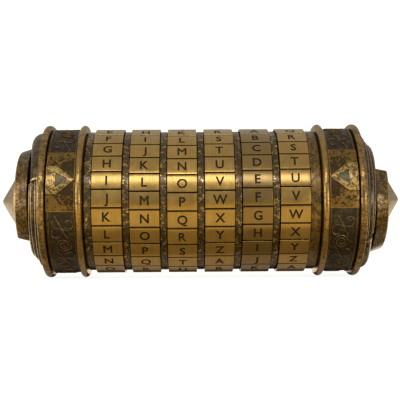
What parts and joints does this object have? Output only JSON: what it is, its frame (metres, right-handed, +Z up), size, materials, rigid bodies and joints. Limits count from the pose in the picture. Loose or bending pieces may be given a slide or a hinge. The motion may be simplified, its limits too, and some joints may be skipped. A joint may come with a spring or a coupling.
{
  "type": "cryptex",
  "caption": "Cylindrical letter-combination vault: lettered rings on a slotted sleeve, ornamental end caps and a keyed drawer tube that slides out.",
  "frame": {"origin": "centre of the bounding box, on the cylinder's axis midway between the two cone tips", "axes": "+X along the axis towards the drawer's cap, -Y the front where the pointers and the code row face, +Z up"},
  "size_m": [0.13, 0.0496, 0.0496],
  "materials": {
    "satin_gold": "circumferentially brushed antique gold with dark engraved letters",
    "spacer_bronze": "mottled antique bronze with gold flecks",
    "filigree_bronze": "near-black patina with raised worn scrollwork",
    "pointer_brass": "worn brass arrow on a mottled dark panel",
    "worn_rim_bronze": "antique bronze with bright worn edges",
    "aged_bronze": "pitted antique bronze, dark in the hollows",
    "blackened_bronze": "blackened bronze",
    "grey_bronze": "smooth satin grey-brown bronze",
    "plain_brass": "plain turned brass",
    "steel": "plain steel"
  },
  "bodies": {
    "case": {"left_cap_shell": "blackened_bronze", "left_inner_rim": "worn_rim_bronze", "left_filigree_band": "filigree_bronze", "left_pointer_plate": "pointer_brass", "left_outer_rim": "worn_rim_bronze", "left_collar": "aged_bronze", "left_knob": "aged_bronze", "left_cone": "grey_bronze", "left_cap_screw": "steel", "sleeve": "plain_brass", "sleeve_seat": "plain_brass", "spacer_1": "spacer_bronze", "spacer_2": "spacer_bronze", "spacer_3": "spacer_bronze", "spacer_4": "spacer_bronze", "spacer_5": "spacer_bronze", "left_end_spacer": "spacer_bronze", "right_end_spacer": "spacer_bronze"},
    "ring_1": {"letter_ring_1": "satin_gold", "code_ring_1": "plain_brass"},
    "ring_2": {"letter_ring_2": "satin_gold", "code_ring_2": "plain_brass"},
    "ring_3": {"letter_ring_3": "satin_gold", "code_ring_3": "plain_brass"},
    "ring_4": {"letter_ring_4": "satin_gold", "code_ring_4": "plain_brass"},
    "ring_5": {"letter_ring_5": "satin_gold", "code_ring_5": "plain_brass"},
    "ring_6": {"letter_ring_6": "satin_gold", "code_ring_6": "plain_brass"},
    "drawer": {"drawer_tube": "plain_brass", "drawer_plug": "plain_brass", "key_rail": "steel", "key_rivet_1": "steel", "key_rivet_2": "steel", "key_rivet_3": "steel", "right_cap_shell": "blackened_bronze", "right_inner_rim": "worn_rim_bronze", "right_filigree_band": "filigree_bronze", "right_pointer_plate": "pointer_brass", "right_outer_rim": "worn_rim_bronze", "right_collar": "aged_bronze", "right_knob": "aged_bronze", "right_cone": "grey_bronze", "right_cap_screw": "steel"}
  },
  "joints": [
    {"name": "ring_1_turn", "type": "hinge", "parent": "case", "child": "ring_1", "pos_m": [-0.0289, 0, 0], "axis": [1, 0, 0], "continuous": true},
    {"name": "ring_2_turn", "type": "hinge", "parent": "case", "child": "ring_2", "pos_m": [-0.01734, 0, 0], "axis": [1, 0, 0], "continuous": true},
    {"name": "ring_3_turn", "type": "hinge", "parent": "case", "child": "ring_3", "pos_m": [-0.00578, 0, 0], "axis": [1, 0, 0], "continuous": true},
    {"name": "ring_4_turn", "type": "hinge", "parent": "case", "child": "ring_4", "pos_m": [0.00578, 0, 0], "axis": [1, 0, 0], "continuous": true},
    {"name": "ring_5_turn", "type": "hinge", "parent": "case", "child": "ring_5", "pos_m": [0.01734, 0, 0], "axis": [1, 0, 0], "continuous": true},
    {"name": "ring_6_turn", "type": "hinge", "parent": "case", "child": "ring_6", "pos_m": [0.0289, 0, 0], "axis": [1, 0, 0], "continuous": true},
    {"name": "drawer_slide", "type": "slide", "parent": "case", "child": "drawer", "axis": [1, 0, 0], "range_m": [0, 0.08092]}
  ]
}
